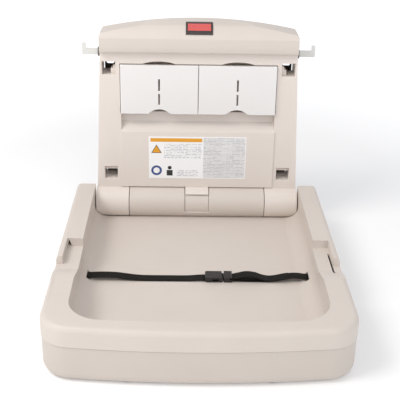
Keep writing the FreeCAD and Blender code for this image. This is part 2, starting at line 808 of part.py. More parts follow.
def bed_cuts():
    """Everything taken out of the bed: notches, strap slots, hinge bores and screw holes."""
    tools = both("NotchLeft", notch_tool(
        "Notch", size("basin_front_half") - 4, size("notch_split"), -size("notch_near")))
    tools += both("NotchOuterLeft", notch_tool(
        "NotchOuter", size("notch_split") - 1, size("tray_half") + 5, -size("notch_outer")))
    tools.append(box("RimSlot", (267, -460, -200), (271, -372, -150)))
    corner_hole = outline(
        "CornerHoleFace", "front", -330, (-268.5, -159),
        [[(-271.4, -173)], [(-263, -173)], [(-268.5, -159)]],
    )
    tools.append(drawn_out("CornerHole", corner_hole, 20))
    tools += both("StrapSlotLeft", box(
        "StrapSlot", (222, "-strap_out - 16", -227.4), (250, "-strap_out + 16", -220.2),
    ))
    tools += both("KnuckleTroughLeft", hinge_cylinder(
        "KnuckleTrough", 37.3, "barrel_half + 0.8", "basin_rear_half"))
    tools.append(cut(
        "CentreWindow",
        hinge_cylinder("CentreWindowOuter", 40, "-cover_half - 0.5", "cover_half + 0.5", -100, 213),
        hinge_cylinder("CentreWindowInner", 5, -40, 40),
    ))
    tools.append(hinge_cylinder("BarrelBore", "rod_radius + 2", -170, 170))
    tools += both("BushSeatLeft", hinge_cylinder(
        "BushSeat", "bush_radius + 0.02", "barrel_half - bush_length - 0.1", "barrel_half + 1"))
    tools += both("DamperSeatLeft", hinge_cylinder(
        "DamperSeat", "damper_radius + 0.05", 0, "damper_end + 1"))
    tools += posts("BedScrewHole", 2.5, -250, -232)
    tools += stiffener_screw_set("BedPlateHole", 2.1, -236, 3.5)
    return tools


def stiffener_screw_set(name, radius, low, length):
    """One upright cylinder at each screw of the stiffening plate."""
    places = [(x, y) for x in (-130, 130) for y in (-130, -410)]
    return [
        cylinder(f"{name}{number}", radius, length, "z", x, y, low)
        for number, (x, y) in enumerate(places)
    ]


def base_shell():
    """The lower shell, a closed pan with a soft lower edge."""
    corner = size("tray_corner") - 1
    pan = tray_prism("Pan", 1, "tray_foot", "parting_level - 0.8", corner)
    soft = rounded(
        "PanSoft", pan, 20,
        lambda edge: at_level(edge, size("tray_foot")) and edge.BoundBox.YMin < -62,
    )
    hollow = tray_prism("PanHollow", 5, "tray_foot + shell_wall", "parting_level + 5", corner - 4)
    hollow_soft = rounded(
        "PanHollowSoft", hollow, 16,
        lambda edge: at_level(edge, size("tray_foot") + 4) and edge.BoundBox.YMin < -66,
    )
    shell = cut("PanShell", soft, hollow_soft)
    pan_posts = fused("PanPostsWhole", *posts("PanPost", 9, "tray_foot + 2", -250))
    trimmed = shared("PanPosts", pan_posts, soft)
    body = fused("PanBody", shell, trimmed)
    relief = box("HingeRelief", (-246, -66, -242.2), (246, -40, -150))
    tools = [relief] + posts("PanScrewHole", 2.7, "tray_foot - 2", -249)
    tools += posts("PanScrewSeat", 5.2, "tray_foot - 2", -258)
    return subpart("base_shell", cut("BaseShell", body, *tools))


def bed_inside():
    """The stiffening plate and the screws inside and under the bed."""
    blank = box("Stiffener", (-150, -430, -238.6), (150, -110, -235.6))
    subpart("stiffening_plate", cut(
        "StiffeningPlate", blank, *stiffener_screw_set("StiffenerHole", 2.3, -240, 6)))
    subpart("stiffening_plate_screws", screws(
        "StiffenerScrews",
        stiffener_screw_set("StiffenerHead", 4, -241, 2.3),
        stiffener_screw_set("StiffenerShank", 2, -240, 7),
    ))
    subpart("shell_screws", screws(
        "ShellScrews",
        posts("ShellHead", 5, -261, -258.1),
        posts("ShellShank", 2.4, -260, -234),
    ))


# ----------------------------------------------------------------------------------------------
# Safety strap
# ----------------------------------------------------------------------------------------------
def webbing(node, name, shift, points):
    """A flat strap that lies along a line of points (across, level), wide along Y."""
    thick = size("strap_thickness")
    width = size("strap_width")
    lower = [Vector(x, 0, z) for x, z in points]
    upper = [point + Vector(0, 0, thick) for point in lower]
    curves = []
    for line in (lower, upper):
        curve = Part.BSplineCurve()
        curve.interpolate(line)
        curves.append(curve.toShape())
    ends = [Part.makeLine(lower[-1], upper[-1]), Part.makeLine(upper[0], lower[0])]
    face = Part.Face(Part.Wire([curves[0], ends[0], curves[1], ends[1]]))
    piece = DOC.addObject("Part::Feature", name)
    piece.Shape = face.extrude(Vector(0, width, 0))
    piece.Placement = FreeCAD.Placement(
        Vector(0, -size("strap_out") - width / 2 + shift, 0), FreeCAD.Rotation())
    return subpart(node, piece)


def straps():
    """Left and right webbing, the loose tail, and the bars that hold them behind the walls."""
    webbing("strap_left", "StrapLeft", 0, [
        (-254, -224.9), (-238, -224.8), (-226, -224.4), (-212, -223.6), (-198, -223.1), (-180, -223.4),
        (-165, -224.4), (-148, -226.8), (-128, -229.4), (-105, -230.6), (-62, -230.7), (-22, -230.5),
        (2, -228.6), (18, -228),
    ])
    webbing("strap_right", "StrapRight", 0, [
        (68, -228), (84, -229.6), (108, -230.7), (140, -230.5), (160, -228.8), (178, -225),
        (192, -222.7), (206, -222.1), (218, -223.5), (226, -224.5), (240, -224.9), (254, -225),
    ])
    webbing("strap_tail", "StrapTail", -3, [
        (68, -225.1), (82, -221.4), (100, -217.6), (118, -219.4), (134, -225.2), (148, -227.7),
        (162, -226.1), (176, -222.8), (188, -220.6),
    ])
    bar = cut(
        "AnchorRight",
        box("AnchorBlank", (244.1, "-strap_out - 24", -233), (247.1, "-strap_out + 24", -199)),
        box("AnchorSlot", (240, "-strap_out - 14", -227.2), (250, "-strap_out + 14", -221)),
    )
    subpart("strap_anchor_right", bar)
    subpart("strap_anchor_left", mirrored("AnchorLeft", bar))


def buckle():
    """A side release buckle: socket on the left strap, plug with two flexing prongs."""
    low, high = "-strap_out - buckle_half", "-strap_out + buckle_half"
    socket_blank = rounded(
        "SocketEased",
        box("SocketBlank", ("socket_start", low, "buckle_foot"), ("socket_end", high, -219.6)),
        3.5, lambda edge: upright(edge) and edge.BoundBox.XMax < 20,
    )
    socket_top = rounded(
        "SocketTop", socket_blank, 1.6, lambda edge: at_level(edge, -219.6),
    )
    windows = [
        box("SocketWindowNear", (30, f"{low} - 1", -228.2), (43, f"{low} + 4", -222)),
        box("SocketWindowFar", (30, f"{high} - 4", -228.2), (43, f"{high} + 1", -222)),
    ]
    subpart("buckle_socket", cut(
        "Socket", socket_top,
        box("SocketCavity", (24, "-strap_out - 11.6", -228.2), (52, "-strap_out + 11.6", -222)),
        box("SocketStrapSlot", (10, "-strap_out - 13", -228.4), (19, "-strap_out + 13", -226)),
        *windows,
    ))
    grip = rounded(
        "GripEased",
        box("GripBlank", ("plug_start", low, "buckle_foot"), ("plug_end", high, -218.8)),
        2, lambda edge: at_level(edge, -218.8),
    )
    ribs = [
        box(f"GripRib{number}", (57.5 + 4 * number, f"{low} - 1", -219.8),
            (59.5 + 4 * number, f"{high} + 1", -218))
        for number in range(3)
    ]
    guide = box(
        "PlugGuide",
        (30, "-strap_out - 3", -227.6),
        ("plug_start + 1", "-strap_out + 3", -222.6),
    )
    subpart("buckle_plug", cut(
        "Plug", fused("PlugForm", grip, guide), *ribs,
        box("PlugStrapSlot", (66, "-strap_out - 13", -228.5), (75, "-strap_out + 13", -226)),
        box("PlugTailSlot", (66, "-strap_out - 15.8", -225.5), (75, "-strap_out + 13", -221.5)),
    ))
    for node, side in (("buckle_prong_front", -1), ("buckle_prong_rear", 1)):
        middle = f"-strap_out + {side} * 9.25"
        arm = box(f"ProngArm{side + 1}", (26, f"{middle} - 1.75", -227.6),
                  ("prong_pivot", f"{middle} + 1.75", -222.6))
        root = cylinder(f"ProngRoot{side + 1}", 1.75, 5, "z", "prong_pivot", middle, -227.6)
        subpart(node, fused(f"Prong{side + 1}", arm, root))


# ----------------------------------------------------------------------------------------------
# Assembly
# ----------------------------------------------------------------------------------------------
def check_objects():
    """Stop if any object failed or any piece's shape is null or not valid."""
    for each in DOC.Objects:
        if {"Invalid", "Error"} & set(each.State):
            raise RuntimeError(f"{each.Name} failed: {each.State}")
    for node, piece in SUBPARTS.items():
        shape = piece.Shape
        if shape.isNull() or not shape.isValid() or not shape.Solids:
            raise RuntimeError(f"{node} has no valid solid")
        print(f"{node}: {len(shape.Solids)} solids, {shape.Volume / 1000:.1f} cm3")


wall_panel()
back_plate()
wall_fasteners()
header_cover()
badge_and_label()
bag_hooks()
liner_doors()
hinge()
bed_shell()
base_shell()
bed_inside()
straps()
buckle()
DOC.recompute()
check_objects()

os.makedirs("parts", exist_ok=True)
for node_name, finished in SUBPARTS.items():
    finished.Shape.exportStep(f"parts/{node_name}.step")
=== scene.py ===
"""A wall-hung changing table that folds down, dressed and lit as a studio product shot.

Lengths are metres, in the part's own frame: the wall is the plane Y = 0, +X is to the right of
someone who faces the table, +Z is up, and the origin is the centre of the four mounting slots.
"""

import json
import logging
import math
from collections.abc import Callable, Iterable, Sequence
from dataclasses import dataclass, field
from enum import Enum

import bmesh
import bpy
from mathutils import Matrix, Vector


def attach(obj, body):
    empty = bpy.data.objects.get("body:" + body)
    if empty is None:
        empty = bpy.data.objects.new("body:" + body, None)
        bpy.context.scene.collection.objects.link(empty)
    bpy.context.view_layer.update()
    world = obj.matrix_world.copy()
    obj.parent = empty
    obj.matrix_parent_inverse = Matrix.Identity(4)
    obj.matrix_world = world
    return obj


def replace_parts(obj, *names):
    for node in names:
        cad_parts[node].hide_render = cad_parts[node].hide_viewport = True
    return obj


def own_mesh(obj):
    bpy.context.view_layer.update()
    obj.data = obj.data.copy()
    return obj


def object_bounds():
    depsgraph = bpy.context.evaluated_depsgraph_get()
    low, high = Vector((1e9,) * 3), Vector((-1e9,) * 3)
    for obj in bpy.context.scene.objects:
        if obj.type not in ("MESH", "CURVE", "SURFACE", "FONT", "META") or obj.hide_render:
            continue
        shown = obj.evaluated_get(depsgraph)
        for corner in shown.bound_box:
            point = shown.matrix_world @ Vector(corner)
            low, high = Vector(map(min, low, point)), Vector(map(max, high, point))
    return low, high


LOG = logging.getLogger("changing_table")
MM = 0.001
SHARP_DEG = 34.0
WELD_MM = 0.004

Point = tuple[float, float]
Triple = tuple[float, float, float]

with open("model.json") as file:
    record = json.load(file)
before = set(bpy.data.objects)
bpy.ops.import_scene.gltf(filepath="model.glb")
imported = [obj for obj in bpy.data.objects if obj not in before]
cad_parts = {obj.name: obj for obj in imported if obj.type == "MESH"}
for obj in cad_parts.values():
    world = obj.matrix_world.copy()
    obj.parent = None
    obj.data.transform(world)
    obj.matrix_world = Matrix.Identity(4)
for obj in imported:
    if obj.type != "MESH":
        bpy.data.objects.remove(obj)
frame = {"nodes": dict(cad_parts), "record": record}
CAD_BOX = [[float(number) for number in corner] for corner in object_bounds()]
BODY_OF: dict[str, str] = {
    node: body
    for body, nodes in frame["record"]["behaviour"]["bodies"].items()
    for node in nodes
}
SLOT_OF: dict[str, str] = {
    row["node"]: row["material_slot"] for row in frame["record"]["subparts"]
}


# ------------------------------------------------------------------------------------------
# Colours and shader nodes
# ------------------------------------------------------------------------------------------
def linear(colour: str) -> tuple[float, float, float, float]:
    """Turn an sRGB hex colour into linear red, green, blue and an opaque alpha.

    Args:
        colour: A value such as "#E2D8CF".

    Returns:
        Four numbers from 0 to 1.
    """
    parts = [int(colour[start:start + 2], 16) / 255 for start in (1, 3, 5)]
    red, green, blue = (
        part / 12.92 if part <= 0.04045 else ((part + 0.055) / 1.055) ** 2.4 for part in parts
    )
    return red, green, blue, 1.0


def add_node(
    tree: bpy.types.NodeTree,
    kind: str,
    inputs: dict[str | int, object] | None = None,
    **settings: object,
) -> bpy.types.Node:
    """Add a shader node, set its properties, and set or link its inputs.

    Args:
        tree: The material's node tree.
        kind: The node type's name after "ShaderNode".
        inputs: For each input name or number, an output socket to link or a value to set.
        **settings: Properties of the node, such as operation="MULTIPLY".

    Returns:
        The new node.
    """
    node = tree.nodes.new("ShaderNode" + kind)
    for name, value in settings.items():
        setattr(node, name, value)
    for key, value in (inputs or {}).items():
        if isinstance(value, bpy.types.NodeSocket):
            tree.links.new(value, node.inputs[key])
        else:
            node.inputs[key].default_value = value
    return node


def blank_material(name: str) -> tuple[bpy.types.Material, bpy.types.NodeTree, bpy.types.Node]:
    """Make an empty node material.

    Args:
        name: The material's name.

    Returns:
        The material, its tree and its output node.
    """
    material = bpy.data.materials.new(name)
    material.use_nodes = True
    tree = material.node_tree
    tree.nodes.clear()
    return material, tree, add_node(tree, "OutputMaterial")


def per_mm(spacing: float) -> float:
    """Return a texture scale, in cells per metre, for a spacing in millimetres."""
    return 1 / (spacing * MM)


@dataclass(frozen=True)
class MouldedPlastic:
    """A moulded thermoplastic with a spark-eroded grain and slight clouding of its colour.

    Structural foam and rotationally moulded polyethylene show a soft, broad highlight and a
    grain about a millimetre across; injection moulded ABS has a tighter highlight.
    """

    name: str
    colour: str
    clouded: str
    roughness: float = 0.48
    grain_mm: float = 1.1
    relief_mm: float = 0.05
    cloud_mm: float = 90.0
    coat: float = 0.0
    ior: float = 1.5
    wear: float = 0.055

    def build(self) -> bpy.types.Material:
        """Return the finish as a node material."""
        material, tree, output = blank_material(self.name)
        place = add_node(tree, "TexCoord").outputs["Object"]
        cloud = add_node(tree, "TexNoise", {
            "Vector": place, "Scale": per_mm(self.cloud_mm), "Detail": 3.0, "Roughness": 0.55,
        })
        colour = add_node(tree, "Mix", {
            "Factor": cloud.outputs["Fac"], 6: linear(self.colour), 7: linear(self.clouded),
        }, data_type="RGBA")
        grain = add_node(tree, "TexNoise", {
            "Vector": place, "Scale": per_mm(self.grain_mm), "Detail": 2.0, "Roughness": 0.6,
        })
        handled = add_node(tree, "TexNoise", {
            "Vector": place, "Scale": per_mm(34), "Detail": 4.0, "Roughness": 0.62,
        })
        gloss = add_node(tree, "MapRange", {
            "Value": handled.outputs["Fac"], "From Min": 0.3, "From Max": 0.7,
            "To Min": self.roughness - self.wear, "To Max": self.roughness + self.wear,
        })
        bump = add_node(tree, "Bump", {
            "Height": grain.outputs["Fac"], "Distance": self.relief_mm * MM, "Strength": 0.8,
        })
        shader = add_node(tree, "BsdfPrincipled", {
            "Base Color": colour.outputs[2],
            "Roughness": gloss.outputs["Result"],
            "Normal": bump.outputs["Normal"],
            "IOR": self.ior,
            "Coat Weight": self.coat,
            "Coat Roughness": 0.2,
        })
        tree.links.new(shader.outputs["BSDF"], output.inputs["Surface"])
        return material


@dataclass(frozen=True)
class PlatedSteel:
    """Cold rolled steel, zinc plated: brushed lines along one axis and a cool, even glint."""

    name: str
    colour: str = "#B9BCC0"
    streak: str = "#9DA1A6"
    roughness: float = 0.32
    line_mm: float = 0.7
    stretch: Triple = (1.0, 1.0, 0.04)

    def build(self) -> bpy.types.Material:
        """Return the finish as a node material."""
        material, tree, output = blank_material(self.name)
        place = add_node(tree, "TexCoord").outputs["Object"]
        turned = add_node(tree, "Mapping", {"Vector": place, "Scale": self.stretch})
        lines = add_node(tree, "TexNoise", {
            "Vector": turned.outputs["Vector"], "Scale": per_mm(self.line_mm), "Detail": 3.0,
        })
        colour = add_node(tree, "Mix", {
            "Factor": lines.outputs["Fac"], 6: linear(self.colour), 7: linear(self.streak),
        }, data_type="RGBA")
        bump = add_node(tree, "Bump", {
            "Height": lines.outputs["Fac"], "Distance": 0.02 * MM, "Strength": 0.6,
        })
        shader = add_node(tree, "BsdfPrincipled", {
            "Base Color": colour.outputs[2], "Metallic": 1.0, "Roughness": self.roughness,
            "Normal": bump.outputs["Normal"],
        })
        tree.links.new(shader.outputs["BSDF"], output.inputs["Surface"])
        return material


@dataclass(frozen=True)
class PowderCoat:
    """Polyester powder baked on steel: a fine orange peel under a satin gloss."""

    name: str
    colour: str = "#DCDCD9"
    shade: str = "#D2D2CE"
    roughness: float = 0.34
    peel_mm: float = 1.6

    def build(self) -> bpy.types.Material:
        """Return the finish as a node material."""
        material, tree, output = blank_material(self.name)
        place = add_node(tree, "TexCoord").outputs["Object"]
        peel = add_node(tree, "TexVoronoi", {
            "Vector": place, "Scale": per_mm(self.peel_mm), "Smoothness": 1.0,
        }, feature="SMOOTH_F1")
        colour = add_node(tree, "Mix", {
            "Factor": peel.outputs["Distance"], 6: linear(self.colour), 7: linear(self.shade),
        }, data_type="RGBA")
        bump = add_node(tree, "Bump", {
            "Height": peel.outputs["Distance"], "Distance": 0.03 * MM, "Strength": 0.5,
        })
        shader = add_node(tree, "BsdfPrincipled", {
            "Base Color": colour.outputs[2], "Roughness": self.roughness,
            "Normal": bump.outputs["Normal"], "Coat Weight": 0.25, "Coat Roughness": 0.18,
        })
        tree.links.new(shader.outputs["BSDF"], output.inputs["Surface"])
        return material


@dataclass(frozen=True)
class WovenWebbing:
    """Black polypropylene webbing: herringbone ribs along the strap, crossed by the weft, with a
    painted highlight on the rib tops.

    The weave reads the piece's own "weave" map, whose unit is a millimetre. Real ribs are about
    a millimetre apart; they are drawn 2.2 mm apart so that they still show at arm's length.
    """

    name: str
    colour: str = "#060504"
    rib_top_highlight: str = "#1A1613"
    rib_mm: float = 2.2
    pick_mm: float = 2.6

    def build(self) -> bpy.types.Material:
        """Return the finish as a node material."""
        material, tree, output = blank_material(self.name)
        place = add_node(tree, "UVMap", uv_map="weave").outputs["UV"]
        split = add_node(tree, "SeparateXYZ", {"Vector": place})
        across = add_node(tree, "Math", {
            0: split.outputs["X"], 1: 2 * math.pi / self.rib_mm,
        }, operation="MULTIPLY")
        rib = add_node(tree, "Math", {0: across.outputs[0]}, operation="SINE")
        slant = add_node(tree, "Math", {0: rib.outputs[0], 1: 1.4}, operation="MULTIPLY")
        along = add_node(tree, "Math", {
            0: split.outputs["Y"], 1: 2 * math.pi / self.pick_mm,
        }, operation="MULTIPLY")
        twill = add_node(tree, "Math", {0: along.outputs[0], 1: slant.outputs[0]})
        pick = add_node(tree, "Math", {0: twill.outputs[0]}, operation="SINE")
        both = add_node(tree, "Math", {0: rib.outputs[0], 1: pick.outputs[0]})
        height = add_node(tree, "MapRange", {
            "Value": both.outputs[0], "From Min": -2.0, "From Max": 2.0,
        })
        fuzz = add_node(tree, "TexNoise", {
            "Vector": place, "Scale": 0.11, "Detail": 4.0, "Roughness": 0.7,
        })
        # Painted highlight: the rib tops are coloured lighter, broken up by noise.
        lit = add_node(tree, "Math", {
            0: height.outputs["Result"], 1: fuzz.outputs["Fac"],
        }, operation="MULTIPLY")
        colour = add_node(tree, "Mix", {
            "Factor": lit.outputs[0], 6: linear(self.colour), 7: linear(self.rib_top_highlight),
        }, data_type="RGBA")
        bump = add_node(tree, "Bump", {
            "Height": height.outputs["Result"], "Distance": 0.4 * MM, "Strength": 0.9,
        })
        shader = add_node(tree, "BsdfPrincipled", {
            "Base Color": colour.outputs[2], "Roughness": 0.72, "Normal": bump.outputs["Normal"],
            "Sheen Weight": 0.1, "Sheen Roughness": 0.4, "Sheen Tint": linear("#8C857C"),
            "Specular IOR Level": 0.25,
        })
        tree.links.new(shader.outputs["BSDF"], output.inputs["Surface"])
        return material


@dataclass(frozen=True)
class Print:
    """Ink or bare laminate on a polyester label: satin film with faint fibre below it."""

    name: str
    colour: str
    mottled: str
    roughness: float = 0.42

    def build(self) -> bpy.types.Material:
        """Return the finish as a node material."""
        material, tree, output = blank_material(self.name)
        place = add_node(tree, "TexCoord").outputs["Object"]
        fibre = add_node(tree, "TexNoise", {
            "Vector": place, "Scale": per_mm(2.4), "Detail": 5.0, "Roughness": 0.7,
        })
        colour = add_node(tree, "Mix", {
            "Factor": fibre.outputs["Fac"], 6: linear(self.colour), 7: linear(self.mottled),
        }, data_type="RGBA")
        bump = add_node(tree, "Bump", {
            "Height": fibre.outputs["Fac"], "Distance": 0.02 * MM, "Strength": 0.4,
        })
        shader = add_node(tree, "BsdfPrincipled", {
            "Base Color": colour.outputs[2], "Roughness": self.roughness,
            "Normal": bump.outputs["Normal"], "Coat Weight": 0.3, "Coat Roughness": 0.25,
        })
        tree.links.new(shader.outputs["BSDF"], output.inputs["Surface"])
        return material


@dataclass(frozen=True)
class TextLines:
    """Rows of grey dashes that stand for small print and say nothing.

    Real rows are about 2 mm apart; they are drawn farther apart so that they still show.
    """

    name: str
    paper: str
    ink: str
    row_mm: float = 4.2
    word_mm: float = 15.0

    def build(self) -> bpy.types.Material:
        """Return the finish as a node material."""
        material, tree, output = blank_material(self.name)
        place = add_node(tree, "TexCoord").outputs["Object"]
        facing = add_node(tree, "Mapping", {
            "Vector": place, "Rotation": (-math.pi / 2, 0.0, 0.0),
            "Scale": (per_mm(1), per_mm(1), per_mm(1)),
        })
        rows = add_node(tree, "TexBrick", {
            "Vector": facing.outputs["Vector"], "Color1": linear(self.ink),
            "Color2": linear(self.paper), "Mortar": linear(self.paper), "Scale": 1.0,
            "Mortar Size": self.row_mm * 0.3, "Mortar Smooth": 0.4, "Bias": -0.35,
            "Brick Width": self.word_mm, "Row Height": self.row_mm,
        }, offset=0.37, offset_frequency=2, squash=0.6, squash_frequency=3)
        shader = add_node(tree, "BsdfPrincipled", {
            "Base Color": rows.outputs["Color"], "Roughness": 0.42,
            "Coat Weight": 0.3, "Coat Roughness": 0.25,
        })
        tree.links.new(shader.outputs["BSDF"], output.inputs["Surface"])
        return material


@dataclass(frozen=True)
class LitSweep:
    """Opal acrylic lit from below, brighter towards its edges: white, but it takes shadow."""

    name: str
    colour: str = "#F0F0F0"
    near_glow: float = 0.14
    far_glow: float = 0.45

    def build(self) -> bpy.types.Material:
        """Return the finish as a node material."""
        material, tree, output = blank_material(self.name)
        place = add_node(tree, "TexCoord").outputs["Object"]
        away = add_node(tree, "VectorMath", {0: place}, operation="LENGTH")
        glow = add_node(tree, "MapRange", {
            "Value": away.outputs["Value"], "From Min": 0.75, "From Max": 1.6,
            "To Min": self.near_glow, "To Max": self.far_glow,
        })
        shader = add_node(tree, "BsdfPrincipled", {
            "Base Color": linear(self.colour), "Roughness": 0.9, "Specular IOR Level": 0.1,
            "Emission Color": linear("#FFFFFF"), "Emission Strength": glow.outputs["Result"],
        })
        tree.links.new(shader.outputs["BSDF"], output.inputs["Surface"])
        return material


class Finish(Enum):
    """Every finish on the table, under the plain name of the part it is made for."""

    SHELL = MouldedPlastic("structural_foam_polyethylene", "#D6CDC5", "#D1C7BE", 0.50)
    # Lighter and darker copies of SHELL: the wall panel's copy has painted light where more light
    # falls, the base's has painted shade where less falls.
    PANEL = MouldedPlastic("structural_foam_painted_light_panel", "#E3DBD4", "#DFD5CD", 0.50)
    BASE = MouldedPlastic("structural_foam_painted_shade_base", "#CEC5BD", "#C9BFB6", 0.50)
    DOOR = MouldedPlastic(
        "injection_moulded_door", "#E7E5E4", "#E4E2E1", 0.34, 1.4, 0.02, 160, 0.15, wear=0.012)
    COLLAR = MouldedPlastic("dark_collar_nylon", "#5F5D58", "#53514D", 0.45, 0.9, 0.04)
    BUCKLE = MouldedPlastic("acetal_buckle", "#211D1B", "#1A1716", 0.38, 0.8, 0.03, 30, 0.1)
    BUSH = MouldedPlastic("natural_nylon_bush", "#E8E6DC", "#DEDCCF", 0.35, 1.0, 0.02)
    DAMPER = MouldedPlastic("black_damper_housing", "#242426", "#1D1D1F", 0.42, 0.9, 0.04)
    HOOK = PowderCoat("powder_coated_hook")
    # Painted shade: the back plate is made near black so that the mounting windows look shaded
    # inside.
    PLATE = PlatedSteel("steel_sheet_painted_window_shade", "#3B3733", "#2E2B28", 0.42)
    ROD = PlatedSteel("ground_steel_rod", "#C3C4C6", "#AFB1B4", 0.22, 0.5, (0.04, 1.0, 1.0))
    SCREW = PlatedSteel("zinc_plated_screw", "#B4B4B0", "#9C9C99", 0.30, 0.4, (1.0, 1.0, 1.0))
    WEBBING = WovenWebbing("polypropylene_webbing")
    THREAD = MouldedPlastic("bonded_nylon_thread", "#2E2925", "#3A342F", 0.55, 0.5, 0.05, 6)
    PAPER = Print("laminated_label_sheet", "#FAFAFB", "#F4F5F6")
    AMBER = Print("amber_ink", "#E9A72B", "#DE9A1E")
    BLUE = Print("blue_ink", "#33508F", "#2B4680")
    BLACK = Print("black_ink", "#2B2B2C", "#232324")
    LINES = TextLines("small_print_left", "#FAFAFB", "#BDBFC6")
    COLUMN = TextLines("small_print_right", "#E9E9E9", "#BDBDC0", 3.6, 22.0)
    BADGE = MouldedPlastic("charcoal_badge", "#3C3432", "#332C2A", 0.35, 0.8, 0.02, 20, 0.2)
    INSET = MouldedPlastic("red_badge_inset", "#D55F5C", "#CC5350", 0.28, 0.8, 0.01, 20, 0.4)

    def material(self) -> bpy.types.Material:
        """Return the finish's material, made the first time that it is asked for."""
        known = bpy.data.materials.get(self.value.name)
        return known or self.value.build()


SLOT_FINISH: dict[str, Finish] = {
    "shell_plastic": Finish.SHELL,
    "door_plastic": Finish.DOOR,
    "hook_metal": Finish.HOOK,
    "collar_plastic": Finish.COLLAR,
    "plate_steel": Finish.PLATE,
    "rod_steel": Finish.ROD,
    "screw_steel": Finish.SCREW,
    "label_paper": Finish.PAPER,
    "badge_plastic": Finish.BADGE,
    "bush_plastic": Finish.BUSH,
    "damper_plastic": Finish.DAMPER,
    "strap_webbing": Finish.WEBBING,
    "buckle_plastic": Finish.BUCKLE,
}
# Nodes whose moulding gets a copy of the shell finish with light or shade painted into its colour:
# lighter on the wall panel, darker on the base.
NODE_PAINTED_LIGHT_COPY: dict[str, Finish] = {
    "wall_panel": Finish.PANEL,
    "base_shell": Finish.BASE,
}


def finish_of(node: str) -> Finish:
    """Return a node's finish: the copy with painted light or painted shade where one is listed,
    else its slot's.
    """
    return NODE_PAINTED_LIGHT_COPY.get(node, SLOT_FINISH[SLOT_OF[node]])


# ------------------------------------------------------------------------------------------
# Mesh helpers
# ------------------------------------------------------------------------------------------
def finished_piece(
    name: str, shape: bmesh.types.BMesh, finish: Finish, body: str,
    smooth_deg: float = SHARP_DEG,
) -> bpy.types.Object:
    """Turn a bmesh into a finished piece that rides on a body.

    Args:
        name: The piece's name.
        shape: The geometry, which is freed.
        finish: Its finish.
        body: The body that it rides on.
        smooth_deg: Edges that turn by more than this stay crisp.

    Returns:
        The new object.
    """
    mesh = bpy.data.meshes.new(name)
    shape.to_mesh(mesh)
    shape.free()
    mesh.shade_smooth()
    mesh.set_sharp_from_angle(angle=math.radians(smooth_deg))
    piece = bpy.data.objects.new(name, mesh)
    bpy.context.scene.collection.objects.link(piece)
    piece.data.materials.append(finish.material())
    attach(piece, body)
    return piece


def weighted(piece: bpy.types.Object) -> bpy.types.Object:
    """Weight a piece's normals by face area, so that flat faces stay flat; return the piece."""
    normals = piece.modifiers.new("flat_faces", "WEIGHTED_NORMAL")
    normals.keep_sharp = True
    normals.weight = 60
    return piece


def welded_copy(node: str, flat_deg: float = 0.4) -> bmesh.types.BMesh:
    """Copy a node's mesh, weld its loose triangles and merge those that lie flat.

    Args:
        node: The node's name.
        flat_deg: Neighbours that turn by less than this are merged.

    Returns:
        The welded copy.
    """
    shape = bmesh.new()
    shape.from_mesh(frame["nodes"][node].data)
    bmesh.ops.remove_doubles(shape, verts=shape.verts, dist=WELD_MM * MM)
    bmesh.ops.dissolve_degenerate(shape, edges=shape.edges, dist=WELD_MM * MM)
    bmesh.ops.dissolve_limit(
        shape, angle_limit=math.radians(flat_deg), verts=shape.verts, edges=shape.edges,
    )
    return shape


def edge_runs(edges: Iterable[bmesh.types.BMEdge]) -> list[list[bmesh.types.BMEdge]]:
    """Sort edges into runs that touch each other.

    Args:
        edges: The edges to sort.

    Returns:
        One list of edges for each connected run.
    """
    left = dict.fromkeys(edges)
    runs = []
    while left:
        front = [left.popitem()[0]]
        run = list(front)
        while front:
            edge = front.pop()
            touching = dict.fromkeys(
                other for vert in edge.verts for other in vert.link_edges if other in left
            )
            for other in touching:
                del left[other]
            front += touching
            run += touching
        runs.append(run)
    return runs


def eased(shape: bmesh.types.BMesh, radius_mm: float, segments: int = 2,
          keep: Callable[[bmesh.types.BMEdge], bool] = lambda edge: True) -> bmesh.types.BMesh:
    """Round the sharp outer edges of a shape, run by run, as a mould leaves them.

    Args:
        shape: The geometry to change.
        radius_mm: Width of the rounding.
        segments: Steps across it.
        keep: Chooses which of the sharp edges are rounded.

    Returns:
        The same geometry.
    """
    sharp = [
        edge for edge in shape.edges
        if len(edge.link_faces) == 2
        and edge.calc_face_angle_signed(0) > math.radians(SHARP_DEG)
        and edge.calc_length() > 0.02 * MM
        and keep(edge)
    ]
    for run in edge_runs(sharp):
        bmesh.ops.bevel(
            shape, geom=[edge for edge in run if edge.is_valid], offset=radius_mm * MM,
            offset_type="OFFSET", segments=segments, profile=0.5, affect="EDGES",
            clamp_overlap=True, material=-1, miter_outer="ARC",
        )
    return shape


def block(shape: bmesh.types.BMesh, low: Triple, high: Triple) -> list[bmesh.types.BMVert]:
    """Add a box between two corners, given in millimetres, and return its corners."""
    centre = [(a + b) / 2 * MM for a, b in zip(low, high)]
    span = [(b - a) * MM for a, b in zip(low, high)]
    place = Matrix.Translation(centre) @ Matrix.Diagonal((*span, 1.0))
    return bmesh.ops.create_cube(shape, size=1.0, matrix=place)["verts"]


